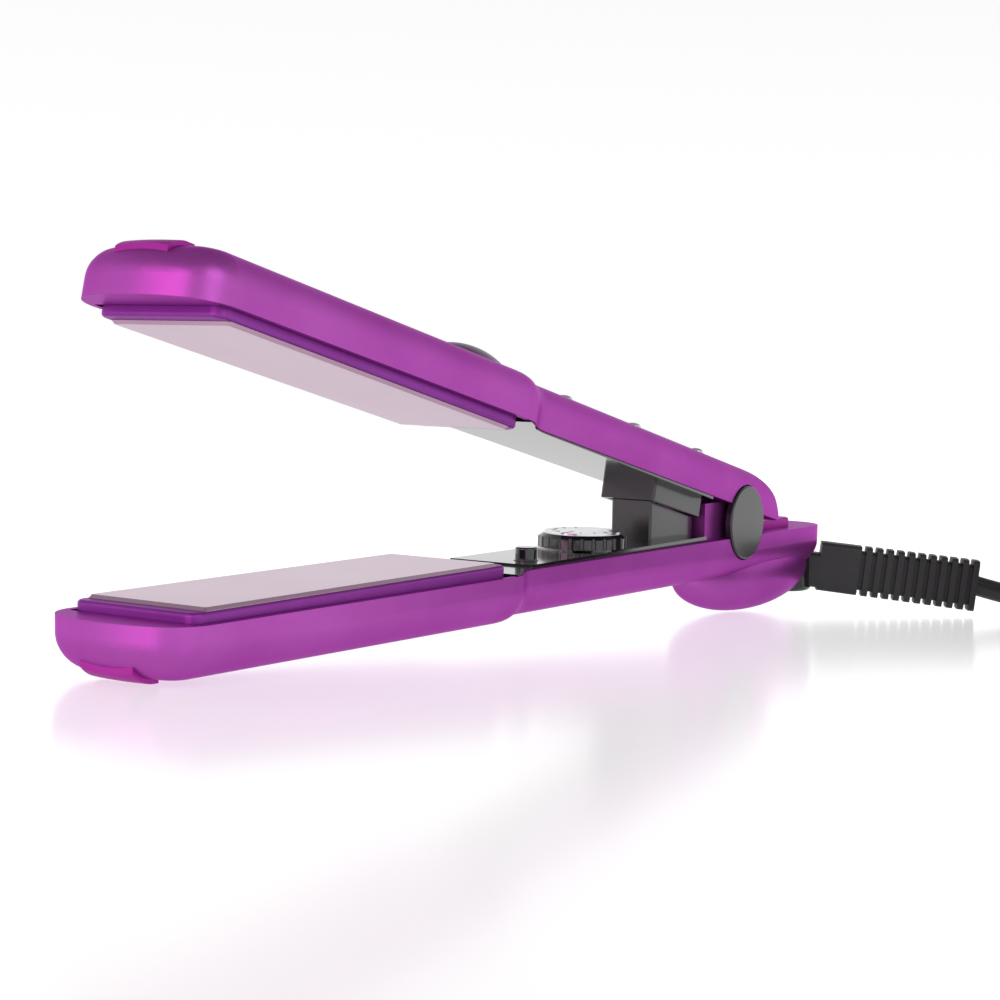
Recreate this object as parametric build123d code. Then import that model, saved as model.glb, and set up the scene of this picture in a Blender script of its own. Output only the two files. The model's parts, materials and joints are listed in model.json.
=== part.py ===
from build123d import *
import math
import os

# Flat iron (hair straightener), in millimetres.
# Each arm is drawn in its own arm frame: X runs from the tip (negative) to the hinge axis at the
# origin, Y across, Z = 0 is the plane where the two plates meet. The lower arm lies below Z = 0.
# The upper arm is drawn as the lower arm's mirror image and opened about the hinge afterwards.

# ---- driving dimensions ----
OPEN_ANGLE = 13.0          # between the arms at rest, degrees
TIP_X = -255.0             # front of both arms
REAR_CENTRE_X = 49.8       # centre of the rounded rear end of the lower arm
HEAD_HALF = 19.0           # half-width of an arm beside the plates
WAIST_FRONT_X = -136.0
WAIST_BACK_X = -118.0
GRIP_HALF = 13.6           # half-width of the grip behind the waist
REAR_HALF = 12.2           # half-width at the hinge and the rear end
TIP_DEPTH = 14.4           # from the plate plane to the outer face, at the tip
HINGE_DEPTH = 16.7         # the same, at the hinge
TIP_RIM = 3.0              # from the plate plane to the shell's rim, at the tip
HINGE_RIM = 4.2
EDGE_ROUND = 8.0           # rounding of the shells' long outer edges
WALL = 1.8

PLATE_L, PLATE_W, PLATE_T = 103.6, 32.0, 1.8
PLATE_FRONT_X = -242.0
PLATE_GAP = 0.15           # each plate's share of the gap left when the arms are closed
CARRIER_WALL = 1.4

DECK_FRONT_X = -118.0
DECK_BACK_X = -21.5
DECK_TOP = -2.7
DECK_T = 1.3
DIAL_X, DIAL_R = -73.0, 12.1
DIAL_TOP = 2.0
BUTTON_X, BUTTON_Y, BUTTON_R = -110.0, -5.6, 2.8
BUTTON_TOP = 0.8
BUTTON_TRAVEL = 0.6

GUARD_FRONT_X, GUARD_BACK_X, GUARD_HALF = -47.0, -22.0, 6.4
SLEEVE_FRONT_X, SLEEVE_HALF = -50.4, 8.6
SPRING_X, SPRING_R, SPRING_WIRE = -37.0, 4.3, 1.0

PIN_R = 2.5
LUG_R = 11.0
CAP_R, CAP_OUTER_Y = 10.8, 13.3

SWIVEL_X = 55.0
SWIVEL_REST = -62.0        # the relief's direction from +X, degrees
BARREL_R = 8.5
BARREL_TOP, BARREL_BOTTOM = -12.7, -26.0
CORD_D = 6.3
CORD_L = 1800.0
BOARD_TOP, BOARD_T = -8.0, 1.6
BOARD_FRONT_X, BOARD_BACK_X, BOARD_HALF = -114.0, -58.0, 9.6
BOARD_POST_X = (-108.0, -64.0)
RUN = 0.4                  # clearance between parts that move past each other

# the upper arm's rear end, the hinge lugs and the bulge under the rear end
UPPER_REAR_X = 23.5
UPPER_BACK_WALL_X = 9.0    # where the hollow of the upper arm ends
LOWER_BACK_WALL_X = -19.8  # where the hollow of the lower arm ends
UPPER_EDGE_ROUND = 7.0
TAIL_REACH = 24.0          # from the hinge to the end of the upper arm's elliptical tail
TONGUE_R = 8.0
BULGE_X, BULGE_Z = 24.0, -17.0
BULGE_LONG, BULGE_R, BULGE_WALL = 40.5, 12.1, 2.4
LUG_IN, LUG_OUT = 5.9, 9.2
LUG_FOOT_Z, LUG_TOP_Z = -13.0, 6.5
TONGUE_HALF = LUG_IN - 0.35

# plate carriers and heaters
CARRIER_FRONT_X = PLATE_FRONT_X - 3.6
CARRIER_BACK_X = PLATE_FRONT_X + PLATE_L + 4.6
CARRIER_HALF = 16.7
CARRIER_TOP, CARRIER_FLOOR, CARRIER_BOTTOM = -0.9, -7.6, -9.0
PLATE_MID_X = PLATE_FRONT_X + PLATE_L / 2
POCKET_HALF = PLATE_W / 2 - 1.2
HEATER_L, HEATER_W, HEATER_T = 82.0, 20.0, 2.6
LEG_X = (PLATE_MID_X - 44, PLATE_MID_X + 44)
LEG_Y = 11.5
LEAD_Z = -6.7
UNDER_PLATE = -PLATE_GAP - PLATE_T

# liners behind the carriers, lying on the shells' rims
LINER_TOP, LINER_T, LINER_INSET = -3.2, 1.6, 0.5

# shell around the carrier: solid from the rim down to here
LIP_BOTTOM = -5.6
LIP_GAP = 0.4

# finger pads at the tips
PAD_FRONT, PAD_BACK, PAD_HALF, PAD_T = 2.2, 9.5, 7.0, 0.9

# dial
KNURLS = 24

# opening spring
SPRING_FREE = 35.3
SPRING_FOOT = -14.45       # height of its lower end
GUARD_WALL = 1.5
GUARD_FRONT_TOP, GUARD_BACK_TOP = 8.6, 2.4
SLEEVE_DROP = 2.2          # how far the sleeve reaches past the plate plane

# board and what stands on it
BOARD_POST_Y, BOARD_POST_R = 6.5, 1.8
BOARD_POST_FOOT = -14.9
POT_HALF = 7.0
SHAFT_R = 2.5
FUSE_X, FUSE_L, FUSE_Y, FUSE_R = -94.0, 12.0, 5.0, 1.7
SWITCH_TOP = -5.9

# pads and studs on the upper arm
THUMB_X, THUMB_L, THUMB_HALF, THUMB_H = -137.0, 36.0, 8.5, 5.2
STUD_X = (-90.0, -52.0, -13.0)

# strain relief
RELIEF_END = 61.0
RELIEF_DROOP = 5.9
RELIEF_MID_Z = -16.9
RIBS, RIB_PITCH, RIB_T = 11, 3.4, 1.9
SMOOTH_END = RELIEF_END - RIBS * RIB_PITCH
RELIEF_W, RELIEF_CORE_W = 8.0, 5.6
RELIEF_H_START, RELIEF_H_END = 15.6, 16.2
NECK_START, NECK_END = 4.0, 10.8       # low neck that swings inside the housing
NECK_H, NECK_DROP = 11.0, 1.5
RIB_DEPTH = 1.6
SHOULDER_R, SHOULDER_Z = 3.6, -22.5    # head of the screw the barrel turns on
SHANK_R, SHANK_TOP = 2.0, -6.5

# loose cord, coil and plug
ROUTE_HEADINGS = (SWIVEL_REST, -90.0, -111.5)
ROUTE_RUNS = (18.6, 28.7, 28.7)
FIRST_DROP = 4.6
COIL_TURNS = 8.25
COIL_ENTRY = -15.0         # bearing from the coil's centre where the cord joins it, degrees
COIL_EXIT = COIL_ENTRY - 360 * (COIL_TURNS % 1)
PLUG_BODY_L, PLUG_BODY_W, PLUG_BODY_H = 34.0, 26.0, 13.6
PLUG_BOOT_L = 20.0
PIN_SPACING, PIN_LENGTH, PIN_D = 19.0, 19.0, 4.0
CORD_R = CORD_D / 2
STRAND_STEP = CORD_D * 1.02            # between neighbouring turns in the bundle
BUNDLE_W = STRAND_STEP + CORD_D        # the bundle is two strands wide and as tall as it needs
BUNDLE_H = ((COIL_TURNS + 1) * STRAND_STEP - math.pi * STRAND_STEP) / 2 + BUNDLE_W


def between(x, x0, y0, x1, y1):
    """Height at x of the straight line through two points."""
    return y0 + (y1 - y0) * (x - x0) / (x1 - x0)


def outer_z(x):
    """Height of the lower arm's outer face at x."""
    return -between(x, TIP_X, TIP_DEPTH, 0, HINGE_DEPTH)


def block(x0, x1, y0, y1, z0, z1):
    return Pos((x0 + x1) / 2, (y0 + y1) / 2, (z0 + z1) / 2) * Box(x1 - x0, y1 - y0, z1 - z0)


def upright(x, y, radius, z0, z1):
    """A cylinder along Z."""
    return Pos(x, y, (z0 + z1) / 2) * Cylinder(radius, z1 - z0)


def crosswise(x, z, radius, y0, y1):
    """A cylinder along Y."""
    return Pos(x, (y0 + y1) / 2, z) * Rot(90, 0, 0) * Cylinder(radius, y1 - y0)


def side_prism(points, half):
    """A polygon of (x, z) points carried across the arm."""
    face = make_face(Polyline(*[(x, 0, z) for x, z in points], close=True))
    return extrude(face, half, dir=(0, 1, 0), both=True)


# ---- arm outline and shells ----
def arm_outline(rear_x):
    """Half outline of an arm seen from above, mirrored; rear_x ends it round or square."""
    waist_mid = ((WAIST_FRONT_X + WAIST_BACK_X) / 2, (HEAD_HALF + GRIP_HALF) / 2)
    nose = ThreePointArc((TIP_X + 1.6, -11.5), (TIP_X, 0), (TIP_X + 1.6, 11.5))
    corner = TangentArc((TIP_X + 1.6, 11.5), (TIP_X + 10.5, HEAD_HALF), tangent=nose % 1)
    side = Line(corner @ 1, (WAIST_FRONT_X, HEAD_HALF))
    waist_a = TangentArc(side @ 1, waist_mid, tangent=(1, 0))
    waist_b = TangentArc(waist_mid, (WAIST_BACK_X, GRIP_HALF), tangent=waist_a % 1)
    grip = Line(waist_b @ 1, (rear_x, REAR_HALF))
    return nose, [corner, side, waist_a, waist_b, grip]


def outline_face(rear_x, round_rear):
    nose, half = arm_outline(rear_x)
    other = [edge.mirror(Plane.XZ) for edge in half]
    if round_rear:
        end = ThreePointArc((rear_x, REAR_HALF), (rear_x + REAR_HALF, 0), (rear_x, -REAR_HALF))
    else:
        end = Line((rear_x, REAR_HALF), (rear_x, -REAR_HALF))
    return make_face([nose, end] + half + other)


def arm_solid(face, edge_round):
    """The arm's outer form between its rim and its outer face."""
    slab = extrude(face, -30)
    far = TIP_X - 40, 90
    depth = [(x, -between(x, TIP_X, TIP_DEPTH, 0, HINGE_DEPTH)) for x in far]
    rim = [(x, -between(x, TIP_X, TIP_RIM, 0, HINGE_RIM)) for x in far]
    keep = side_prism([rim[0], rim[1], depth[1], depth[0]], 40)
    body = slab & keep
    return fillet(outer_loop(body), edge_round)


def outer_loop(body):
    """Edges around the arm's outer (lowest) face."""
    lowest = min(body.faces(), key=lambda f: f.center().Z)
    return lowest.edges()


def upper_tail():
    """Elliptical rear end of the upper arm, drawn below the plate plane like the rest."""
    return extrude(Plane.XZ * Ellipse(TAIL_REACH, HINGE_DEPTH), 40, both=True)


def cap_recesses():
    cut = []
    for side in (-1, 1):
        inner, outer = sorted((side * 11.1, side * 20))
        cut.append(crosswise(0, 0, CAP_R + RUN, inner, outer))
    return cut


def arm_hollow(is_lower):
    """Room inside an arm, open at the rim."""
    rear, back = (REAR_CENTRE_X, LOWER_BACK_WALL_X) if is_lower else (UPPER_REAR_X, UPPER_BACK_WALL_X)
    room = extrude(Pos(0, 0, 10) * offset(outline_face(rear, is_lower), amount=-WALL), -40)
    floor = [(x, outer_z(x) + WALL) for x in (TIP_X - 40, 90)]
    room = room & side_prism([(TIP_X - 40, 10), (90, 10), floor[1], floor[0]], 40)
    room = fillet(outer_loop(room), EDGE_ROUND - WALL - 0.6)
    room = room & block(TIP_X - 10, back, -40, 40, -40, 20)
    return room - block(TIP_X - 10, CARRIER_FRONT_X - LIP_GAP, -40, 40, LIP_BOTTOM, 20)


def arm_shell(is_lower):
    rear = REAR_CENTRE_X if is_lower else UPPER_REAR_X
    face = outline_face(rear, is_lower)
    shell = arm_solid(face, EDGE_ROUND if is_lower else UPPER_EDGE_ROUND)
    if not is_lower:
        shell = shell - (block(0, 60, -40, 40, -40, 40) - upper_tail())
    return shell - arm_hollow(is_lower) - cap_recesses()


def knuckle(y0, y1, radius):
    return crosswise(0, 0, radius, y0, y1)


def lower_housing():
    body = arm_shell(True)
    for side in (-1, 1):
        y0, y1 = sorted((side * LUG_IN, side * LUG_OUT))
        body += knuckle(y0, y1, LUG_R)
        body += block(LOWER_BACK_WALL_X, 0, y0, y1, LUG_FOOT_Z, LUG_TOP_Z)
    body += block(LOWER_BACK_WALL_X, LOWER_BACK_WALL_X + 2, -LUG_OUT, LUG_OUT, LUG_FOOT_Z, LUG_TOP_Z)
    slot = crosswise(0, 0, 9.6, -LUG_IN, LUG_IN) + block(-9.6, 9.6, -LUG_IN, LUG_IN, 0, 20)
    channel = block(-21, 47, -3.5, 3.5, -13.4, -9.4)
    body = body - slot - channel
    body = body - crosswise(0, 0, PIN_R, -12, 12)
    body = body - upright(SWIVEL_X, 0, BARREL_R + RUN, -40, BARREL_TOP + RUN)
    body = body - block(SWIVEL_X - 1, 90, -40, 40, -40, BARREL_TOP + RUN)
    body = body - upright(SWIVEL_X, 0, SHANK_R, -20, SHANK_TOP)
    body = body - deck_slab(0.15, DECK_TOP - DECK_T, 5) - rear_stop()
    for x in BOARD_POST_X:
        for y in (-BOARD_POST_Y, BOARD_POST_Y):
            body += upright(x, y, BOARD_POST_R, BOARD_POST_FOOT, BOARD_TOP - BOARD_T)
    return body


def deck_slab(grow, z0, z1):
    """The deck's tapered outline, grown all round, between two heights."""
    half, rear_half = GRIP_HALF - 1.5 + grow, REAR_HALF - 1.4 + grow
    front, back = DECK_FRONT_X - grow, DECK_BACK_X + grow
    outline = Polyline((front, -half), (back, -rear_half), (back, rear_half), (front, half), close=True)
    return extrude(Pos(0, 0, z0) * make_face(outline), z1 - z0)


def spheroid(long_half, radius):
    """Solid of revolution of an ellipse about the X axis."""
    curve = EllipticalCenterArc((0, 0), long_half, radius, start_angle=0, arc_size=180)
    return revolve(make_face([curve, Line(curve @ 1, curve @ 0)]), Axis.X)


def swivel_cover():
    """Bulge under the rear end, hollow, open behind for the relief to swing."""
    shell = spheroid(BULGE_LONG, BULGE_R) - spheroid(BULGE_LONG - BULGE_WALL, BULGE_R - BULGE_WALL)
    cover = Pos(BULGE_X, 0, BULGE_Z) * shell
    cover = cover - arm_solid(outline_face(REAR_CENTRE_X, True), EDGE_ROUND)
    cover = cover - block(-60, 90, -30, 30, -13.0, 10)
    cover = cover - upright(SWIVEL_X, 0, BARREL_R + RUN, -40, 0)
    return cover - block(SWIVEL_X - 1, 90, -40, 40, -40, 0)


def upper_housing():
    """Drawn below the plate plane; mirrored when it is placed."""
    body = arm_shell(False)
    body = body - crosswise(0, 0, LUG_R + RUN, -LUG_OUT - 0.3, LUG_OUT + 0.3)
    body = body - block(-20.6, 0, -LUG_OUT - 0.3, LUG_OUT + 0.3, -8.0, 0)
    tongue = knuckle(-TONGUE_HALF, TONGUE_HALF, TONGUE_R)
    tongue += block(-TONGUE_R, TONGUE_R, -TONGUE_HALF, TONGUE_HALF, -15.5, 0)
    body = body + tongue
    return body - crosswise(0, 0, PIN_R + 0.05, -12, 12)


# ---- heated heads (drawn for the lower arm) ----
def plate():
    """Ceramic-coated plate with rounded long edges."""
    slab = Pos(PLATE_MID_X, 0, -PLATE_GAP - PLATE_T / 2) * Box(PLATE_L, PLATE_W, PLATE_T)
    slab = fillet(slab.edges().filter_by(Axis.Z), 1.0)
    return chamfer(slab.faces().sort_by(Axis.Z)[-1].edges(), 0.7)


def carrier(arm_hollow):
    """Moulded tray that holds the plate, with four legs on the housing's floor."""
    tray = block(CARRIER_FRONT_X, CARRIER_BACK_X, -CARRIER_HALF, CARRIER_HALF, CARRIER_BOTTOM, CARRIER_TOP)
    corners = tray.edges().filter_by(Axis.Z).group_by(Axis.X)
    tray = fillet(corners[0], 3.0)
    tray = fillet(tray.edges().filter_by(Axis.Z).group_by(Axis.X)[-1], 5.0)
    tray = fillet(tray.faces().sort_by(Axis.Z)[-1].edges(), 0.8)
    tray = chamfer(tray.faces().sort_by(Axis.Z)[0].edges(), 2.2)
    seat = block(PLATE_FRONT_X - 0.2, PLATE_FRONT_X + PLATE_L + 0.2, -PLATE_W / 2 - 0.2, PLATE_W / 2 + 0.2,
                 UNDER_PLATE, 5)
    pocket = block(PLATE_FRONT_X + 3, PLATE_FRONT_X + PLATE_L - 3, -POCKET_HALF, POCKET_HALF, CARRIER_FLOOR, 5)
    tray = tray - seat - pocket
    legs = [upright(x, y, 3.0, -18, CARRIER_BOTTOM + 0.2) for x in LEG_X for y in (-LEG_Y, LEG_Y)]
    tray = tray + [leg & arm_hollow for leg in legs]
    bores = [upright(x, y, 1.1, -18, CARRIER_FLOOR) for x in LEG_X for y in (-LEG_Y, LEG_Y)]
    lead_holes = [lengthwise(CARRIER_BACK_X - 12, CARRIER_BACK_X + 1, y, LEAD_Z, 1.0) for y in (-4, 4)]
    return tray - bores - lead_holes


def lengthwise(x0, x1, y, z, radius):
    """A cylinder along X."""
    return Pos((x0 + x1) / 2, y, z) * Rot(0, 90, 0) * Cylinder(radius, x1 - x0)


def carrier_screws():
    """Four pan-head screws down through the tray into its legs."""
    screws = []
    for x in LEG_X:
        for y in (-LEG_Y, LEG_Y):
            head = upright(x, y, 2.0, CARRIER_FLOOR, CARRIER_FLOOR + 1.2)
            screws.append(head + upright(x, y, 1.05, CARRIER_FLOOR - 4.0, CARRIER_FLOOR))
    return Compound(children=screws)


def heater():
    return block(PLATE_MID_X - HEATER_L / 2, PLATE_MID_X + HEATER_L / 2, -HEATER_W / 2, HEATER_W / 2,
                 UNDER_PLATE - HEATER_T, UNDER_PLATE)


def insulator():
    """Fibre pad that presses the heater against the plate."""
    return block(PLATE_MID_X - HEATER_L / 2, PLATE_MID_X + HEATER_L / 2, -8.0, 8.0,
                 CARRIER_FLOOR, UNDER_PLATE - HEATER_T)


def heater_leads(x_end):
    leads = [lengthwise(PLATE_MID_X + HEATER_L / 2, x_end, y, LEAD_Z, 0.8) for y in (-4, 4)]
    return Compound(children=leads)


def tip_pad(arm):
    """Thin finger pad that wraps the rounded tip."""
    grown = Pos(-0.4, 0, -PAD_T) * arm
    pad = grown & block(TIP_X + PAD_FRONT, TIP_X + PAD_BACK, -PAD_HALF, PAD_HALF, -30, LIP_BOTTOM - 2)
    return pad - arm


# ---- lower arm: deck, controls, spring ----
def deck_panel():
    """Trim plate with the dial, the switch and the spring opening."""
    panel = deck_slab(0, DECK_TOP - DECK_T, DECK_TOP)
    inner = GUARD_HALF - GUARD_WALL
    panel = panel - block(GUARD_FRONT_X + GUARD_WALL, GUARD_BACK_X, -inner, inner, -9, 0)
    panel = panel - upright(DIAL_X, 0, 3.3, -9, 0) - upright(BUTTON_X, BUTTON_Y, BUTTON_R + RUN, -9, 0)
    skirt = [block(BOARD_FRONT_X + 0.2, BOARD_BACK_X, y0, y1, BOARD_TOP, DECK_TOP - DECK_T)
             for y0, y1 in ((-BOARD_HALF, -BOARD_HALF + 1), (BOARD_HALF - 1, BOARD_HALF))]
    return panel + skirt


def spring_guard():
    """Open box round the spring; its top slopes down to the hinge."""
    sides = [(GUARD_FRONT_X, DECK_TOP), (GUARD_FRONT_X, GUARD_FRONT_TOP),
             (GUARD_BACK_X, GUARD_BACK_TOP), (GUARD_BACK_X, DECK_TOP)]
    box = side_prism(sides, GUARD_HALF)
    box = chamfer(box.edges().filter_by(Axis.Z), 0.6)
    inner = GUARD_HALF - GUARD_WALL
    return box - block(GUARD_FRONT_X + GUARD_WALL, GUARD_BACK_X - GUARD_WALL, -inner, inner, -9, 20)


def spring_sleeve():
    """Upper half of the telescoping guard, drawn below the plate plane for the mirrored arm."""
    box = block(SLEEVE_FRONT_X, GUARD_BACK_X, -SLEEVE_HALF, SLEEVE_HALF, LINER_TOP, SLEEVE_DROP)
    box = chamfer(box.edges().filter_by(Axis.Z), 0.6)
    inner = SLEEVE_HALF - GUARD_WALL
    return box - block(SLEEVE_FRONT_X + GUARD_WALL, GUARD_BACK_X + 1, -inner, inner, -20, 9)


def liner(x_back, is_lower):
    """Cover sheet that lies on the shell's rim behind the carrier and reaches down inside it."""
    outline = offset(outline_face(REAR_CENTRE_X if is_lower else UPPER_REAR_X, is_lower), amount=-LINER_INSET)
    sheet = extrude(Pos(0, 0, LINER_TOP - LINER_T) * outline, LINER_T)
    return (sheet & block(CARRIER_BACK_X + 0.4, x_back, -30, 30, -9, 9)) - arm_shell(is_lower)


def upper_liner():
    """The liner carries the spring sleeve and is open inside it."""
    inner = SLEEVE_HALF - GUARD_WALL
    sheet = liner(GUARD_BACK_X, False)
    return sheet - block(SLEEVE_FRONT_X + GUARD_WALL, GUARD_BACK_X + 1, -inner, inner, -9, 9)


def circuit_board():
    sheet = block(BOARD_FRONT_X, BOARD_BACK_X, -BOARD_HALF, BOARD_HALF, BOARD_TOP - BOARD_T, BOARD_TOP)
    return sheet - upright(DIAL_X, 0, 1.6, -20, 0)


def potentiometer():
    top = DECK_TOP - DECK_T - RUN
    body = block(DIAL_X - POT_HALF, DIAL_X + POT_HALF, -POT_HALF, POT_HALF, BOARD_TOP, top)
    return body - upright(DIAL_X, 0, 2.6, -7.4, 0)


def switch_body():
    return block(BUTTON_X - 3.2, BUTTON_X + 3.2, BUTTON_Y - 2.8, BUTTON_Y + 3.2, BOARD_TOP, SWITCH_TOP)


def thermal_fuse():
    return lengthwise(FUSE_X - FUSE_L / 2, FUSE_X + FUSE_L / 2, FUSE_Y, BOARD_TOP + FUSE_R, FUSE_R)


def temperature_dial():
    """Knurled knob on a shaft."""
    skirt = upright(DIAL_X, 0, DIAL_R, DECK_TOP + RUN, DIAL_TOP - 1.6)
    cap = Pos(DIAL_X, 0, DIAL_TOP - 1.1) * Cone(DIAL_R, DIAL_R - 1.4, 1.0)
    knob = skirt + cap
    groove = Pos(DIAL_R + 0.2, 0, -0.6) * Cylinder(0.65, 4.6)
    knob = knob - [Pos(DIAL_X, 0, 0) * Rot(0, 0, i * 360 / KNURLS) * groove for i in range(KNURLS)]
    return knob + upright(DIAL_X, 0, SHAFT_R, BOARD_TOP + 0.8, DECK_TOP + RUN)


def dial_face():
    """Bright disc set on the knob, with a pointer notch."""
    disc = upright(DIAL_X, 0, DIAL_R - 1.8, DIAL_TOP - 0.6, DIAL_TOP)
    return disc - block(DIAL_X - DIAL_R, DIAL_X - 4.5, -0.5, 0.5, DIAL_TOP - 0.35, 5)


def power_button():
    cap = upright(BUTTON_X, BUTTON_Y, BUTTON_R, -4.6, BUTTON_TOP)
    cap = fillet(cap.edges().sort_by(Axis.Z)[-1], 0.5)
    return cap + upright(BUTTON_X, BUTTON_Y, 1.2, SWITCH_TOP + BUTTON_TRAVEL, -4.6)


def opening_spring():
    """Coil spring as a closed tube of its outer form."""
    top = SPRING_FOOT + SPRING_FREE
    tube = upright(SPRING_X, 0, SPRING_R, SPRING_FOOT, top)
    return tube - upright(SPRING_X, 0, SPRING_R - SPRING_WIRE, SPRING_FOOT - 1, top + 1)


def rear_stop():
    """Raised tongue behind the hinge that the upper arm's lip comes down to."""
    tongue = block(20, 45, -6.5, 6.5, -5.0, -1.6)
    tongue = fillet(tongue.edges().filter_by(Axis.Z), 3.0)
    return fillet(tongue.faces().sort_by(Axis.Z)[-1].edges(), 0.8)


# ---- hinge ----
def hinge_pin():
    return crosswise(0, 0, PIN_R, -LUG_OUT, LUG_OUT)


def hinge_cap(side):
    """Round cap with a boss that seats on the lug."""
    y0, y1 = sorted((side * 11.35, side * CAP_OUTER_Y))
    b0, b1 = sorted((side * LUG_OUT, side * 11.35))
    disc = crosswise(0, 0, CAP_R, y0, y1)
    outer = disc.edges().sort_by(Axis.Y)[-1 if side > 0 else 0]
    return fillet(outer, 0.5) + crosswise(0, 0, 3.5, b0, b1)


# ---- upper arm fittings (drawn below the plate plane, then mirrored) ----
def thumb_pad(arm):
    """Domed oval pad, an ellipsoid sunk into the arm's outer face."""
    dome = Pos(THUMB_X, 0, outer_z(THUMB_X) + THUMB_HALF - THUMB_H) * spheroid(THUMB_L / 2, THUMB_HALF)
    return (dome & block(-200, -80, -20, 20, -40, outer_z(THUMB_X) + 0.4)) - arm


def thumb_bezel(arm):
    """Thin bright band round the foot of the thumb pad."""
    ring = Pos(THUMB_X, 0, 0) * extrude(Ellipse(THUMB_L / 2 + 0.6, THUMB_HALF + 0.6), -30)
    band = ring & block(-200, -80, -20, 20, outer_z(THUMB_X) - 0.8, outer_z(THUMB_X) + 0.4)
    return band - arm - thumb_pad(arm)


def grip_studs(arm):
    studs = []
    for x in STUD_X:
        stud = upright(x, 0, 2.2, outer_z(x) - 2.6, outer_z(x) + 1)
        studs.append(fillet(stud.edges().sort_by(Axis.Z)[0], 1.2) - arm)
    return Compound(children=studs)


# ---- swivel, relief (drawn along +X from the swivel axis, then turned) ----
def turn_swivel(shape):
    return Pos(SWIVEL_X, 0, 0) * Rot(0, 0, SWIVEL_REST) * shape


def swivel_barrel():
    barrel = upright(0, 0, BARREL_R, BARREL_BOTTOM, BARREL_TOP)
    barrel = fillet(barrel.edges().group_by(Axis.Z)[0], 1.5)
    barrel = barrel - upright(0, 0, SHANK_R + 0.05, -40, 0)
    return barrel - upright(0, 0, SHOULDER_R + 0.3, -40, SHOULDER_Z)


def swivel_pin():
    """Shoulder screw that the barrel turns on."""
    head = upright(SWIVEL_X, 0, SHOULDER_R, SHOULDER_Z - 1.7, SHOULDER_Z)
    return head + upright(SWIVEL_X, 0, SHANK_R, SHOULDER_Z, SHANK_TOP)


def relief_section(x, wide, tall):
    return Plane(origin=(x, 0, 0), x_dir=(0, 1, 0), z_dir=(1, 0, 0)) * RectangleRounded(wide, tall, 1.6)


def relief_height(x):
    return between(x, NECK_END, RELIEF_H_START, RELIEF_END, RELIEF_H_END)


def strain_relief():
    """Smooth neck, then ribs on a thinner core, drooping from the barrel."""
    neck = loft([relief_section(x, RELIEF_W, NECK_H) for x in (NECK_START, NECK_END + 1)])
    smooth = loft([relief_section(x, RELIEF_W, relief_height(x)) for x in (NECK_END, SMOOTH_END)])
    core = loft([relief_section(x, RELIEF_CORE_W, relief_height(x) - 2 * RIB_DEPTH)
                 for x in (SMOOTH_END - 1, RELIEF_END)])
    body = Pos(0, 0, -NECK_DROP) * neck + smooth + core
    for i in range(RIBS):
        x = SMOOTH_END + RIB_PITCH - RIB_T + i * RIB_PITCH
        body += extrude(relief_section(x, RELIEF_W, relief_height(x)), RIB_T, dir=(1, 0, 0))
    body = Pos(0, 0, RELIEF_MID_Z) * Rot(0, RELIEF_DROOP, 0) * body
    return body - upright(0, 0, BARREL_R, -40, 0)


# ---- wiring inside the lower arm ----
def round_wire(points, radii, radius):
    """A wire of round section along straight runs joined by tangent arcs."""
    path = FilletPolyline(*points, radius=radii)
    return sweep(Plane(origin=path @ 0, z_dir=path % 0) * Circle(radius), path)


def mains_wires():
    wires = []
    for side in (-1, 1):
        route = [(-61.5, side * 6.6, -10.5), (-33, side * 6.6, -11.0), (-20, side * 1.9, -11.4),
                 (45, side * 1.9, -11.4)]
        wires.append(round_wire(route, [6.0, 6.0], 0.9))
    return Compound(children=wires)


# ---- cord, coil and plug, in the part's own frame ----
def cord_route(start):
    """Points of the loose stretch: it sinks to the floor and swings round towards the coil."""
    x, y, z = start
    heights = (z - FIRST_DROP, CORD_R + 0.8, CORD_R + 0.8)
    points = [(x, y, z)]
    for heading, run, height in zip(ROUTE_HEADINGS, ROUTE_RUNS, heights):
        x += run * math.cos(math.radians(heading))
        y += run * math.sin(math.radians(heading))
        points.append((x, y, height))
    return points


def bend_radii(points):
    """For each inner point, 0.45 of the shorter run over the tangent of half the turn."""
    radii = []
    for a, b, c in zip(points, points[1:], points[2:]):
        first, second = Vector(*b) - Vector(*a), Vector(*c) - Vector(*b)
        half_turn = math.radians(first.get_angle(second)) / 2
        radii.append(0.45 * min(first.length, second.length) / math.tan(half_turn))
    return radii


def bearing(degrees):
    return math.cos(math.radians(degrees)), math.sin(math.radians(degrees))


def coil_ring(radius):
    """Closed ring with the outer form of all the turns, standing on Z = 0."""
    section = Plane.XZ * Pos(radius, BUNDLE_H / 2) * RectangleRounded(BUNDLE_W, BUNDLE_H, BUNDLE_W / 2 - 0.05)
    return revolve(section, Axis.Z)


def plug_body():
    body = block(0, PLUG_BODY_L, -PLUG_BODY_W / 2, PLUG_BODY_W / 2, -PLUG_BODY_H / 2, PLUG_BODY_H / 2)
    body = fillet(body.edges().filter_by(Axis.X), 5.0)
    boot = Pos(-PLUG_BOOT_L / 2, 0, 0) * Rot(0, 90, 0) * Cone(CORD_R + 1.0, CORD_R + 2.6, PLUG_BOOT_L)
    boot = boot + block(-1, 0, -5, 5, -4, 4)
    return body + boot


def plug_pins():
    pins = [lengthwise(PLUG_BODY_L, PLUG_BODY_L + PIN_LENGTH, y, 0, PIN_D / 2)
            for y in (-PIN_SPACING / 2, PIN_SPACING / 2)]
    return Compound(children=pins)


# ---- placing both arms in the part's frame ----
def rest_pitch():
    """Angle that sets the lower tip pad and the rear bulge on one plane."""
    pad_x, pad_z = TIP_X + PAD_BACK, outer_z(TIP_X + PAD_BACK) - PAD_T
    pitch = 0.0
    for _ in range(8):
        reach = math.hypot(BULGE_LONG * math.tan(pitch), BULGE_R)
        pitch = math.atan2(reach - BULGE_Z + pad_z, BULGE_X - pad_x)
    return math.degrees(pitch)


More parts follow.
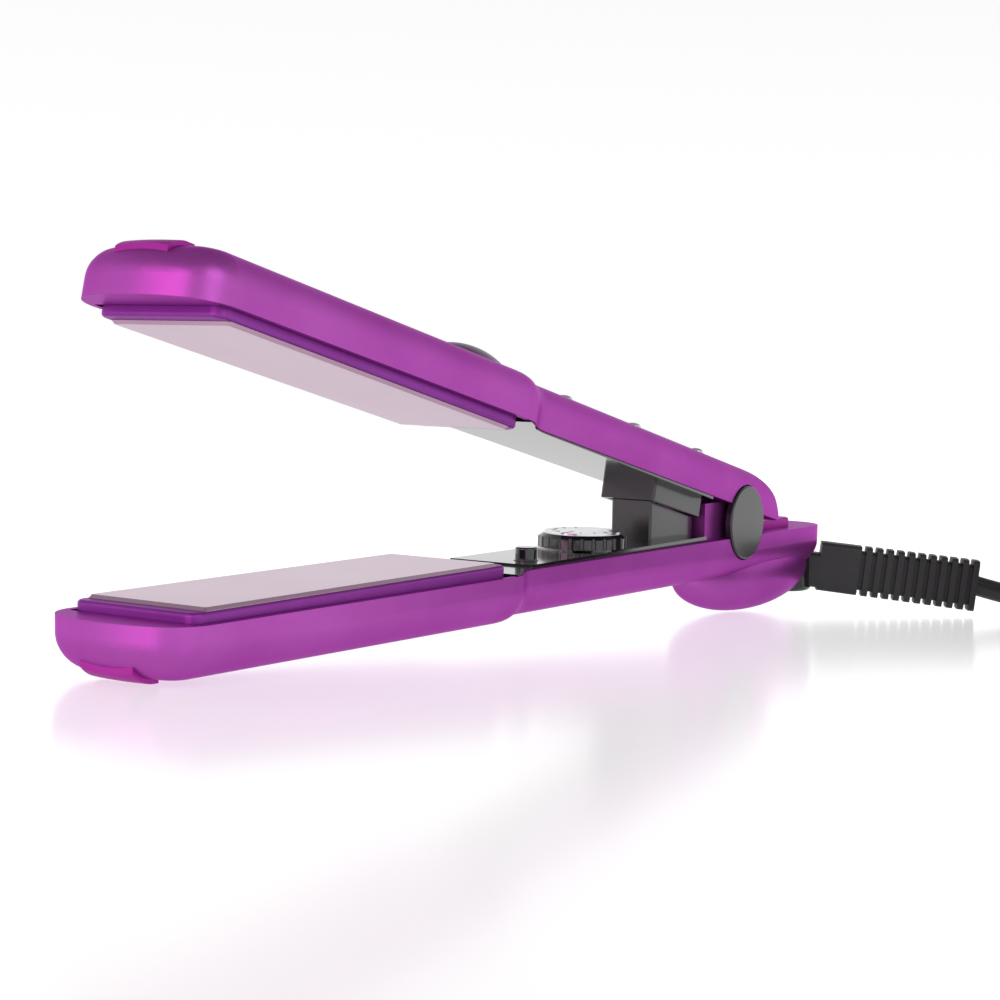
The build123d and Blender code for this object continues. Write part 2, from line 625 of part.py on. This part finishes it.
lower_arm = arm_solid(outline_face(REAR_CENTRE_X, True), EDGE_ROUND)
upper_arm = arm_solid(outline_face(UPPER_REAR_X, False), UPPER_EDGE_ROUND)
lower_hollow, upper_hollow = arm_hollow(True), arm_hollow(False)

lower_parts = {
    "lower_housing": lower_housing(),
    "swivel_cover": swivel_cover(),
    "lower_tip_pad": tip_pad(lower_arm),
    "lower_plate_carrier": carrier(lower_hollow),
    "lower_carrier_screws": carrier_screws(),
    "lower_ceramic_plate": plate(),
    "lower_heater": heater(),
    "lower_insulator": insulator(),
    "lower_heater_leads": heater_leads(BOARD_FRONT_X),
    "lower_liner": liner(DECK_FRONT_X - 0.2, True),
    "deck_panel": deck_panel(),
    "spring_guard": spring_guard(),
    "opening_spring": opening_spring(),
    "circuit_board": circuit_board(),
    "potentiometer": potentiometer(),
    "switch_body": switch_body(),
    "thermal_fuse": thermal_fuse(),
    "rear_stop": rear_stop(),
    "mains_wires": mains_wires(),
    "hinge_pin": hinge_pin(),
    "hinge_cap_near": hinge_cap(-1),
    "hinge_cap_far": hinge_cap(1),
    "temperature_dial": temperature_dial(),
    "dial_face": dial_face(),
    "power_button": power_button(),
    "swivel_pin": swivel_pin(),
    "swivel_barrel": turn_swivel(swivel_barrel()),
    "strain_relief": turn_swivel(strain_relief()),
}
upper_parts = {
    "upper_housing": upper_housing(),
    "upper_tip_pad": tip_pad(upper_arm),
    "upper_plate_carrier": carrier(upper_hollow),
    "upper_carrier_screws": carrier_screws(),
    "upper_ceramic_plate": plate(),
    "upper_heater": heater(),
    "upper_insulator": insulator(),
    "upper_heater_leads": heater_leads(SLEEVE_FRONT_X + 1),
    "upper_liner": upper_liner(),
    "spring_sleeve": spring_sleeve(),
    "thumb_pad": thumb_pad(upper_arm),
    "thumb_bezel": thumb_bezel(upper_arm),
    "grip_studs": grip_studs(upper_arm),
}

pitch = rest_pitch()
lower_place = Rot(0, -pitch, 0)
upper_place = Rot(0, OPEN_ANGLE - pitch, 0)


def placed_solids(shape, place, flip):
    """Every solid of a node, flipped for the upper arm, at its place."""
    return [place * (mirror(solid, Plane.XY) if flip else solid) for solid in shape.solids()]


nodes = {name: placed_solids(shape, lower_place, False) for name, shape in lower_parts.items()}
for name, shape in upper_parts.items():
    nodes[name] = placed_solids(shape, upper_place, True)
standing = [solid for name, solids in nodes.items() if name != "strain_relief" for solid in solids]
box = Compound(children=standing).bounding_box()
shift = Pos(-box.center().X, 0, -box.min.Z)
nodes = {name: [shift * solid for solid in solids] for name, solids in nodes.items()}

relief_end = turn_swivel(Pos(0, 0, RELIEF_MID_Z) * Rot(0, RELIEF_DROOP, 0) * Pos(RELIEF_END, 0, 0))
exit_point = (shift * lower_place * relief_end).position
route = cord_route((exit_point.X, exit_point.Y, exit_point.Z))
radii = bend_radii(route)
cord_path = FilletPolyline(*[Vector(*point) for point in route], radius=radii)
loose = cord_path.length + 2 * CORD_D + PLUG_BOOT_L
coil_r = (CORD_L - loose) / (2 * math.pi * COIL_TURNS)
toward = bearing(COIL_ENTRY)
coil_x, coil_y = route[-1][0] - coil_r * toward[0], route[-1][1] - coil_r * toward[1]
coil = Pos(coil_x, coil_y, 0) * coil_ring(coil_r)
cord = sweep(Plane(origin=cord_path @ 0, z_dir=cord_path % 0) * Circle(CORD_R), cord_path)
away, along = bearing(COIL_EXIT), bearing(COIL_EXIT - 90)
leave_r = coil_r + STRAND_STEP / 2
leave = math.sqrt((coil_r + BUNDLE_W / 2) ** 2 - leave_r ** 2) + PLUG_BOOT_L
plug_at = Pos(coil_x + leave_r * away[0] + leave * along[0], coil_y + leave_r * away[1] + leave * along[1],
              PLUG_BODY_H / 2) * Rot(0, 0, COIL_EXIT - 90)
nodes["power_cord"] = (cord - coil - nodes["strain_relief"][0]).solids()
nodes["cord_coil"] = coil.solids()
nodes["plug_body"] = (plug_at * plug_body() - coil).solids()
nodes["plug_pins"] = (plug_at * plug_pins()).solids()

os.makedirs("parts", exist_ok=True)
for name, solids in nodes.items():
    export_step(Compound(children=list(solids)), f"parts/{name}.step")
print("cord bend radii", [round(radius, 1) for radius in radii])
print("cord tube volume over section times length", cord.volume / (math.pi * CORD_R ** 2 * cord_path.length))
print("coil mean radius", coil_r, "centre", coil_x, coil_y, "bundle", BUNDLE_W, BUNDLE_H)
print("cord route", [[round(value, 2) for value in point] for point in route])
print("plug at", plug_at.position, "heading", COIL_EXIT - 90)
print("pitch", pitch, "hinge", (shift * Pos(0, 0, 0)).position)
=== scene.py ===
"""A flat iron, open on a white gloss floor, with its mains lead coiled beside it. Lengths are in metres."""
import json
import math

import bpy
import bmesh
from mathutils import Matrix, Vector


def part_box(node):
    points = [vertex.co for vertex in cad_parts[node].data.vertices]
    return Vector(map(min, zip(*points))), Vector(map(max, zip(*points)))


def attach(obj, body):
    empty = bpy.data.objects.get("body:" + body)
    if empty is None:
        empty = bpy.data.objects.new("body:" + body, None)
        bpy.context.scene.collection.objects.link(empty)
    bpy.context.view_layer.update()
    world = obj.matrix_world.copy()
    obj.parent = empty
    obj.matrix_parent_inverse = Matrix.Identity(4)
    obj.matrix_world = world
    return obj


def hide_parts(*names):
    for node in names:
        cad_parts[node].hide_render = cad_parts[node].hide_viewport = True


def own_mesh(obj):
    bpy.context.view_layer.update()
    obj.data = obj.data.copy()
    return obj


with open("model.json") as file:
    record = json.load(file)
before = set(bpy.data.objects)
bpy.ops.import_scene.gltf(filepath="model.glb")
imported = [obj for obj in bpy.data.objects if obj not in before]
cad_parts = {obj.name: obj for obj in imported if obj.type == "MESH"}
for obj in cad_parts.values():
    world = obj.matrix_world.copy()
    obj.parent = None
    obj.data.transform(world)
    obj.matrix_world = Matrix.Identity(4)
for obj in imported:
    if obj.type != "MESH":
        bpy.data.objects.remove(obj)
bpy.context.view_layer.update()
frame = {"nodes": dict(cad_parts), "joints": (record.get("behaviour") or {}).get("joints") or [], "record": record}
nodes = frame["nodes"]
joint = {j["name"]: j for j in frame["joints"]}
hinge_at = Vector(joint["arm_hinge"]["pos_m"])

# ---- camera ----
FOCAL_LENGTH_MM = 72.0
SENSOR_WIDTH_MM = 36.0
CAMERA_FROM_HINGE = Vector((-0.5351, -0.2735, 0.0255))
LOOK = Vector((0.8378, 0.5447, -0.0376)).normalized()
CAMERA_UP = Vector((0.0062, 0.0594, 0.9982))

# ---- mains lead ----
CORD_D = 0.0063
CORD_R = CORD_D / 2
ROUTE = [
    (0.17948, -0.05357, 0.00926),
    (0.18821, -0.07000, 0.00466),
    (0.18821, -0.09870, 0.00395),
    (0.17770, -0.12540, 0.00395),
]

# ---- its coil: turns clockwise seen from above, angles in degrees ----
STRAND_STEP = CORD_D * 1.02
COIL_LIFT = 0.0005
COIL_TURNS = 8.25
COIL_ENTRY = -15.0
COIL_EXIT = COIL_ENTRY - 360 * (COIL_TURNS % 1)
POINTS_PER_TURN = 16
FIRST_POINT = 2            # the route itself stands for the points before it
SPREAD_TURNS = 0.3         # over which the strand moves in to the inner column
LAYERS_PER_TURN = 0.93     # under 1, so the turns lie pressed together
SWAP_TURN = 4.5            # half way from the inner column to the outer one
SWAP_TURNS = 0.8
LAST_TURN = 8.0            # after it the strand comes down to the plug
OVER_ENTRY = 1.2           # layers above the floor, where the last turn passes over the entry
PLUG_LAYER = 0.5

# ---- plug, from the middle of its pins back along the lead ----
PIN_HALF_LENGTH = 0.0095
PLUG_LENGTH = 0.034
BOOT_REACH = 0.018
TAIL_INSIDE_BOOT = 0.008

# ---- opening spring, along the lower arm's upright ----
LOWER_UP = Vector(joint["dial_turn"]["axis"])
LOWER_ALONG = Vector((LOWER_UP.z, 0, -LOWER_UP.x))
SPRING_AHEAD_OF_HINGE = 0.037
SPRING_BELOW_HINGE = 0.01445
SPRING_TURNS = 11
SPRING_STEPS_PER_TURN = 24
SPRING_WIRE_R = 0.0005
SPRING_LENGTH = 0.0353
SPRING_MEAN_R = 0.0043 - SPRING_WIRE_R
END_SHARE = 0.07           # of the wire, closed up at each end
END_RISE = 0.0008

# ---- dial marks ----
DIAL_TOP = 0.0020
MARKS = 11
MARK_SWEEP = 270
MARK_RADIUS = 0.0078
MARK_GAP = 0.00001
LONG_MARK_HALF = 0.0010
SHORT_MARK_HALF = 0.0006
LONG_MARK_EVERY = 5
MARK_HALF_WIDTH = 0.00022
MARK_HEIGHT = 0.00006
MARK_TOP_SCALE = 0.8

# ---- softened edges ----
EDGE_WIDTHS = {
    "spring_guard": 0.0005,
    "spring_sleeve": 0.0005,
    "deck_panel": 0.0002,
    "lower_liner": 0.0002,
    "upper_liner": 0.0002,
    "strain_relief": 0.0004,
    "power_button": 0.0002,
    "rear_stop": 0.0003,
    "lower_tip_pad": 0.0003,
    "upper_tip_pad": 0.0003,
    "lower_plate_carrier": 0.0002,
    "upper_plate_carrier": 0.0002,
    "lower_housing": 0.0005,
    "upper_housing": 0.0005,
    "swivel_cover": 0.0003,
}
EDGE_SEGMENTS = 3
EDGE_ANGLE = math.radians(40)

# ---- finishes ----
COAT_ROUGHNESS = 0.12
DRIFT_DETAIL = 6.0
GRAIN_DETAIL = 3.0
BUMP_DEPTH = 0.0001
PURPLE_TINT = (0.80, 0.40, 0.80, 1)

# ---- floor and light ----
FLOOR_HALF = 6.0
FLOOR_LEVEL = -0.0003
FLOOR_COLOUR = (0.55, 0.56, 0.55, 1)
FLOOR_ROUGHNESS = 0.16
FLOOR_SPECULAR = 0.5
FLOOR_GLOW = 0.53
TENT_AT_HORIZON = 1.0
TENT_OVERHEAD = 0.3
FADE_FROM = 0.1
FADE_TO = 0.9


# ---- camera ----
def add_camera():
    """The camera, placed from the hinge."""
    data = bpy.data.cameras.new("camera")
    data.lens = FOCAL_LENGTH_MM
    data.sensor_width = SENSOR_WIDTH_MM
    data.clip_start = 0.01
    camera = bpy.data.objects.new("camera", data)
    bpy.context.scene.collection.objects.link(camera)
    right = LOOK.cross(CAMERA_UP).normalized()
    turn = Matrix((right, right.cross(LOOK), -LOOK)).transposed().to_4x4()
    camera.matrix_world = Matrix.Translation(hinge_at + CAMERA_FROM_HINGE) @ turn
    bpy.context.scene.camera = camera


add_camera()


# ---- mains lead ----
def eased(value):
    """0 to 1, starting and ending slowly."""
    value = min(1.0, max(0.0, value))
    return value * value * (3 - 2 * value)


def strand_place(done):
    """Offset out and up after some turns: up in an inner column, over, and down in an outer one."""
    rising = LAYERS_PER_TURN * done
    falling = OVER_ENTRY + LAYERS_PER_TURN * (LAST_TURN - done)
    if done > LAST_TURN:
        to_plug = eased((done - LAST_TURN) / (COIL_TURNS - LAST_TURN))
        falling = OVER_ENTRY - (OVER_ENTRY - PLUG_LAYER) * to_plug
    swap = eased((done - SWAP_TURN) / SWAP_TURNS + 0.5)
    side = (2 * swap - 1) * eased(done / SPREAD_TURNS)
    return side * STRAND_STEP / 2, (rising + (falling - rising) * swap) * STRAND_STEP


def coil_points():
    """The coil's turns, from where the loose run joins it to where the plug's boot begins."""
    low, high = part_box("cord_coil")
    centre = (low + high) / 2
    radius = (high.x - low.x) / 2 - STRAND_STEP / 2 - CORD_R
    floor = low.z + CORD_R + COIL_LIFT
    steps = round(COIL_TURNS * POINTS_PER_TURN)
    points = []
    for i in range(FIRST_POINT, steps + 1):
        done = COIL_TURNS * i / steps
        outward, height = strand_place(done)
        reach = radius + outward
        angle = math.radians(COIL_ENTRY - 360 * done)
        x = centre.x + reach * math.cos(angle)
        y = centre.y + reach * math.sin(angle)
        points.append((x, y, floor + height))
    return points


def tail_points():
    """From the end of the coil into the plug's boot."""
    heading = math.radians(COIL_EXIT - 90)
    ahead = Vector((math.cos(heading), math.sin(heading), 0))
    low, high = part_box("plug_pins")
    boot = (low + high) / 2 - ahead * (PLUG_LENGTH + PIN_HALF_LENGTH + BOOT_REACH)
    return [tuple(boot), tuple(boot + ahead * TAIL_INSIDE_BOOT)]


def add_curve(name, points, radius):
    """A round tube along the smooth curve that the given control points steer."""
    data = bpy.data.curves.new(name, "CURVE")
    data.dimensions = "3D"
    spline = data.splines.new("NURBS")
    spline.points.add(len(points) - 1)
    for point, place in zip(spline.points, points):
        point.co = (*place, 1.0)
        point.radius = radius
    spline.order_u = 3
    spline.use_endpoint_u = True
    data.bevel_depth = 1.0
    data.bevel_resolution = 6
    data.use_fill_caps = True
    thing = bpy.data.objects.new(name, data)
    bpy.context.scene.collection.objects.link(thing)
    return thing


lead = add_curve("mains_lead", ROUTE + coil_points() + tail_points(), CORD_R)
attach(lead, "swivel")
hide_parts("power_cord", "cord_coil")


# ---- opening spring ----
spring_foot = hinge_at - LOWER_ALONG * SPRING_AHEAD_OF_HINGE - LOWER_UP * SPRING_BELOW_HINGE


def spring_points():
    """A compression spring with closed end turns, up from its foot."""
    open_share = 1 - 2 * END_SHARE
    open_length = SPRING_LENGTH - 2 * END_RISE - 2 * SPRING_WIRE_R
    steps = SPRING_TURNS * SPRING_STEPS_PER_TURN
    points = []
    for i in range(steps + 1):
        share = i / steps
        first_end = min(share, END_SHARE) / END_SHARE
        opened = min(1.0, max(0.0, (share - END_SHARE) / open_share))
        last_end = max(0.0, share - (1 - END_SHARE)) / END_SHARE
        height = SPRING_WIRE_R + END_RISE * (first_end + last_end) + open_length * opened
        angle = 2 * math.pi * SPRING_TURNS * share
        out = LOWER_ALONG * math.cos(angle) + Vector((0, math.sin(angle), 0))
        points.append(spring_foot + LOWER_UP * height + out * SPRING_MEAN_R)
    return points


def as_mesh(curve_object):
    """The curve's tube as a mesh object of the same name."""
    bpy.context.view_layer.update()
    mesh = bpy.data.meshes.new_from_object(curve_object)
    name = curve_object.name
    bpy.data.objects.remove(curve_object)
    thing = bpy.data.objects.new(name, mesh)
    bpy.context.scene.collection.objects.link(thing)
    for face in mesh.polygons:
        face.use_smooth = True
    return thing


spring = as_mesh(add_curve("spring_wire", spring_points(), SPRING_WIRE_R))
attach(spring, "lower_arm")
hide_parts("opening_spring")
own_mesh(spring)


# ---- dial marks ----
def add_bar(mesh, centre, along, across, lift, size):
    """A low bar with a narrower top, added to a bmesh."""
    half_long, half_wide, tall = size
    rings = []
    for level, shrink in ((0.0, 1.0), (tall, MARK_TOP_SCALE)):
        corners = []
        for a, b in ((-1, -1), (1, -1), (1, 1), (-1, 1)):
            corner = along * (a * half_long * shrink) + across * (b * half_wide * shrink)
            corners.append(mesh.verts.new(centre + corner + lift * level))
        rings.append(corners)
    bottom, top = rings
    mesh.faces.new(top)
    mesh.faces.new(list(reversed(bottom)))
    for i in range(4):
        j = (i + 1) % 4
        mesh.faces.new((bottom[i], bottom[j], top[j], top[i]))


def dial_marks():
    """Setting marks round the dial's face, the middle and end ones longer."""
    shape = bmesh.new()
    centre = Vector(joint["dial_turn"]["pos_m"]) + LOWER_UP * (DIAL_TOP + MARK_GAP)
    for i in range(MARKS):
        angle = math.radians(180 - MARK_SWEEP / 2 + MARK_SWEEP * i / (MARKS - 1))
        out = LOWER_ALONG * math.cos(angle) + Vector((0, math.sin(angle), 0))
        side = LOWER_UP.cross(out)
        half_long = LONG_MARK_HALF if i % LONG_MARK_EVERY == 0 else SHORT_MARK_HALF
        size = (half_long, MARK_HALF_WIDTH, MARK_HEIGHT)
        add_bar(shape, centre + out * MARK_RADIUS, out, side, LOWER_UP, size)
    mesh = bpy.data.meshes.new("dial_marks")
    shape.to_mesh(mesh)
    shape.free()
    thing = bpy.data.objects.new("dial_marks", mesh)
    bpy.context.scene.collection.objects.link(thing)
    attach(thing, "dial")
    return thing


marks = dial_marks()


# ---- softened edges ----
def soften(thing, width):
    """Round the object's sharp edges when it is shown."""
    bevel = thing.modifiers.new("edges", "BEVEL")
    bevel.width = width
    bevel.segments = EDGE_SEGMENTS
    bevel.limit_method = "ANGLE"
    bevel.angle_limit = EDGE_ANGLE
    bevel.use_clamp_overlap = True
    bevel.harden_normals = True


for name, width in EDGE_WIDTHS.items():
    soften(nodes[name], width)


# ---- materials ----
def new_material(name):
    """A node material with its tree and its shader."""
    material = bpy.data.materials.new(name)
    material.use_nodes = True
    return material, material.node_tree, material.node_tree.nodes["Principled BSDF"]


def finish(name, dark, light, metallic, roughness, spread, scale, bump, grain, coat=0.0):
    """A moulded or coated surface: slow colour drift, uneven gloss and a fine grain.

    dark and light: the colours the drift runs between; scale: how fine the drift is
    roughness and spread: the middle of the gloss and how far it strays
    bump and grain: how strong and how fine the grain is
    """
    material, tree, shader = new_material(name)
    link = tree.links.new
    place = tree.nodes.new("ShaderNodeTexCoord")
    drift = tree.nodes.new("ShaderNodeTexNoise")
    drift.inputs["Scale"].default_value = scale
    drift.inputs["Detail"].default_value = DRIFT_DETAIL
    ramp = tree.nodes.new("ShaderNodeValToRGB")
    ramp.color_ramp.elements[0].position = 0.3
    ramp.color_ramp.elements[0].color = (*dark, 1)
    ramp.color_ramp.elements[1].position = 0.7
    ramp.color_ramp.elements[1].color = (*light, 1)
    gloss = tree.nodes.new("ShaderNodeMapRange")
    gloss.inputs["To Min"].default_value = roughness - spread
    gloss.inputs["To Max"].default_value = roughness + spread
    fine = tree.nodes.new("ShaderNodeTexNoise")
    fine.inputs["Scale"].default_value = grain
    fine.inputs["Detail"].default_value = GRAIN_DETAIL
    raised = tree.nodes.new("ShaderNodeBump")
    raised.inputs["Strength"].default_value = bump
    raised.inputs["Distance"].default_value = BUMP_DEPTH
    link(place.outputs["Object"], drift.inputs["Vector"])
    link(place.outputs["Object"], fine.inputs["Vector"])
    link(drift.outputs["Fac"], ramp.inputs["Fac"])
    link(ramp.outputs["Color"], shader.inputs["Base Color"])
    link(fine.outputs["Fac"], gloss.inputs["Value"])
    link(gloss.outputs["Result"], shader.inputs["Roughness"])
    link(fine.outputs["Fac"], raised.inputs["Height"])
    link(raised.outputs["Normal"], shader.inputs["Normal"])
    shader.inputs["Metallic"].default_value = metallic
    shader.inputs["Coat Weight"].default_value = coat
    shader.inputs["Coat Roughness"].default_value = COAT_ROUGHNESS
    return material


looks = {
    "shell": finish("satin_purple", (0.40, 0.070, 0.40), (0.46, 0.095, 0.46), metallic=0.85,
                    roughness=0.37, spread=0.03, scale=40, bump=0.15, grain=9000),
    "carrier": finish("carrier_purple", (0.24, 0.035, 0.29), (0.28, 0.045, 0.34), metallic=0.6,
                      roughness=0.34, spread=0.03, scale=60, bump=0.1, grain=5000),
    "pad": finish("pad_magenta", (0.34, 0.02, 0.28), (0.40, 0.03, 0.33), metallic=0.6,
                  roughness=0.35, spread=0.03, scale=60, bump=0.1, grain=5000),
    "thumb": finish("thumb_purple", (0.07, 0.008, 0.08), (0.10, 0.012, 0.11), metallic=0.5,
                    roughness=0.3, spread=0.04, scale=60, bump=0.1, grain=5000),
    "plate": finish("ceramic_plate", (0.50, 0.31, 0.44), (0.56, 0.37, 0.50), metallic=0.85,
                    roughness=0.22, spread=0.03, scale=30, bump=0.02, grain=3000),
    "black_gloss": finish("black_gloss", (0.006, 0.006, 0.007), (0.010, 0.010, 0.011), metallic=0.0,
                          roughness=0.08, spread=0.02, scale=40, bump=0.03, grain=2500, coat=0.5),
    "black_satin": finish("black_satin", (0.012, 0.012, 0.013), (0.020, 0.020, 0.021), metallic=0.0,
                          roughness=0.24, spread=0.04, scale=60, bump=0.1, grain=3500, coat=0.3),
    "black_rubber": finish("black_rubber", (0.010, 0.010, 0.011), (0.018, 0.018, 0.019), metallic=0.0,
                           roughness=0.5, spread=0.06, scale=60, bump=0.3, grain=3000),
    "cord_rubber": finish("cord_rubber", (0.008, 0.008, 0.009), (0.014, 0.014, 0.015), metallic=0.0,
                          roughness=0.42, spread=0.06, scale=60, bump=0.3, grain=3000),
    "bright": finish("satin_chrome", (0.62, 0.62, 0.64), (0.72, 0.72, 0.74), metallic=1.0,
                     roughness=0.2, spread=0.04, scale=50, bump=0.05, grain=4000),
    "steel": finish("bright_steel", (0.45, 0.45, 0.47), (0.58, 0.58, 0.60), metallic=1.0,
                    roughness=0.28, spread=0.05, scale=80, bump=0.1, grain=4000),
    "brass_pins": finish("plug_brass", (0.55, 0.46, 0.28), (0.66, 0.56, 0.34), metallic=1.0,
                         roughness=0.25, spread=0.05, scale=80, bump=0.1, grain=4000),
    "heater_ceramic": finish("heater_white", (0.70, 0.69, 0.65), (0.80, 0.79, 0.76), metallic=0.0,
                             roughness=0.6, spread=0.05, scale=80, bump=0.3, grain=3000),
    "fibre": finish("glass_fibre", (0.62, 0.60, 0.52), (0.76, 0.74, 0.66), metallic=0.0,
                    roughness=0.8, spread=0.05, scale=400, bump=0.8, grain=2500),
    "board_green": finish("board_green", (0.01, 0.07, 0.03), (0.02, 0.12, 0.05), metallic=0.0,
                          roughness=0.35, spread=0.05, scale=200, bump=0.2, grain=2500),
    "wire": finish("silicone_wire", (0.60, 0.60, 0.58), (0.72, 0.72, 0.70), metallic=0.0,
                   roughness=0.5, spread=0.05, scale=80, bump=0.2, grain=3000),
}
for key in ("shell", "carrier", "pad"):
    shader = looks[key].node_tree.nodes["Principled BSDF"]
    shader.inputs["Specular Tint"].default_value = PURPLE_TINT

slot_of = {s["node"]: s["material_slot"] for s in frame["record"]["subparts"]}
for name, thing in nodes.items():
    thing.data.materials.clear()
    thing.data.materials.append(looks[slot_of[name]])
nodes["thumb_pad"].data.materials[0] = looks["thumb"]
lead.data.materials.append(looks["cord_rubber"])
spring.data.materials.append(looks["steel"])
marks.data.materials.append(looks["black_satin"])


# ---- floor and light ----
def add_floor():
    """A glowing white gloss floor just under the iron."""
    far = FLOOR_HALF
    mesh = bpy.data.meshes.new("floor")
    mesh.from_pydata([(-far, -far, 0), (far, -far, 0), (far, far, 0), (-far, far, 0)], [], [(0, 1, 2, 3)])
    floor = bpy.data.objects.new("floor", mesh)
    bpy.context.scene.collection.objects.link(floor)
    material, tree, shader = new_material("floor_white")
    shader.inputs["Base Color"].default_value = FLOOR_COLOUR
    shader.inputs["Roughness"].default_value = FLOOR_ROUGHNESS
    shader.inputs["Specular IOR Level"].default_value = FLOOR_SPECULAR
    shader.inputs["Emission Color"].default_value = (1, 1, 1, 1)
    shader.inputs["Emission Strength"].default_value = FLOOR_GLOW
    mesh.materials.append(material)
    floor.location.z = FLOOR_LEVEL


def add_light(name, place, target, size, power, colour=(1, 1, 1)):
    """A square soft light that points at its target."""
    data = bpy.data.lights.new(name, "AREA")
    data.shape = "SQUARE"
    data.size = size
    data.energy = power
    data.color = colour
    lamp = bpy.data.objects.new(name, data)
    bpy.context.scene.collection.objects.link(lamp)
    lamp.location = place
    lamp.rotation_euler = (Vector(target) - Vector(place)).to_track_quat("-Z", "Y").to_euler()


def add_world():
    """A light tent: white all round, dimmer overhead."""
    world = bpy.data.worlds.new("studio")
    bpy.context.scene.world = world
    world.use_nodes = True
    tree = world.node_tree
    back = tree.nodes["Background"]
    back.inputs["Color"].default_value = (1, 1, 1, 1)
    place = tree.nodes.new("ShaderNodeTexCoord")
    split = tree.nodes.new("ShaderNodeSeparateXYZ")
    fade = tree.nodes.new("ShaderNodeMapRange")
    fade.interpolation_type = "SMOOTHSTEP"
    fade.inputs["From Min"].default_value = FADE_FROM
    fade.inputs["From Max"].default_value = FADE_TO
    fade.inputs["To Min"].default_value = TENT_AT_HORIZON
    fade.inputs["To Max"].default_value = TENT_OVERHEAD
    tree.links.new(place.outputs["Generated"], split.inputs["Vector"])
    tree.links.new(split.outputs["Z"], fade.inputs["Value"])
    tree.links.new(fade.outputs["Result"], back.inputs["Strength"])


bpy.context.scene.view_settings.view_transform = "Standard"
add_floor()
add_world()
add_light("key", (-0.5, -1.1, 0.7), (0, 0, 0.04), size=0.7, power=2.5)
add_light("tip_glow", (-1.1, 0.15, 0.22), (-0.15, 0, 0.05), size=0.75, power=3.4, colour=(1.0, 0.40, 0.78))

bpy.context.view_layer.update()
